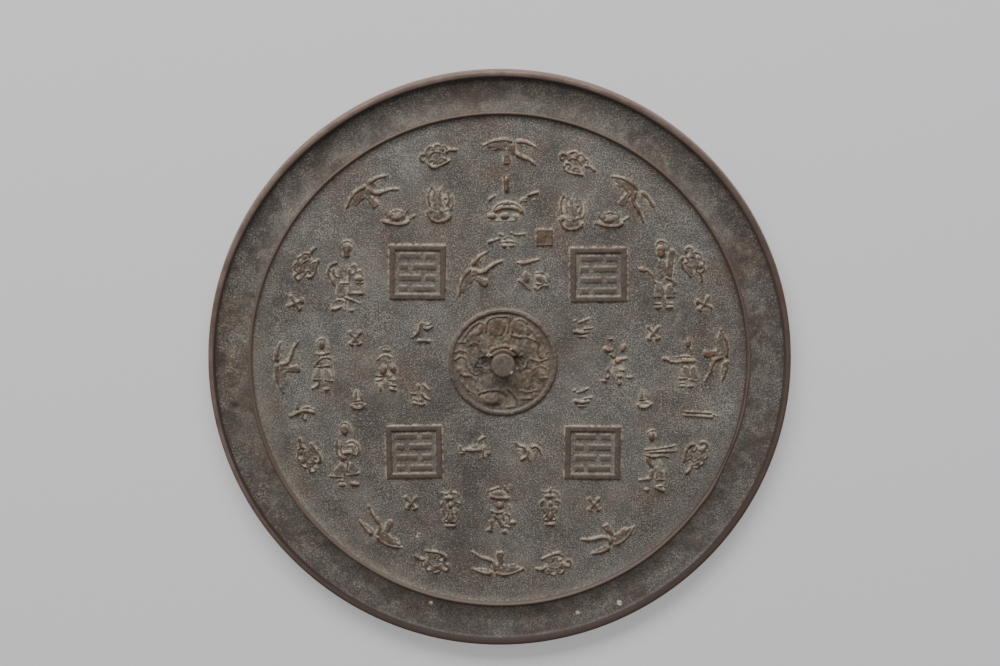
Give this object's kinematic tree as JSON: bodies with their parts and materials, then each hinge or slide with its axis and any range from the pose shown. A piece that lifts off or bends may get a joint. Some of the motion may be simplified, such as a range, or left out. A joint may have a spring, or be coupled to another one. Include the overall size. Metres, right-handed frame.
{
  "type": "ancient bronze mirror",
  "caption": "Round cast bronze mirror with a raised lip and ridge, and cranes, clouds and attendants in low relief around a pierced central knob.",
  "frame": {"origin": "centre of the flat reflecting face, which the mirror lies on", "axes": "+Z out of the decorated back, +Y towards the top of the decoration, +X to its right"},
  "size_m": [0.36, 0.36, 0.018],
  "materials": {
    "bronze": "dark grey-brown patinated cast bronze, dull, with worn warm brown high points and pale tan dust in the hollows"
  },
  "bodies": {
    "root": {"bronze_mirror": "bronze"}
  },
  "joints": []
}
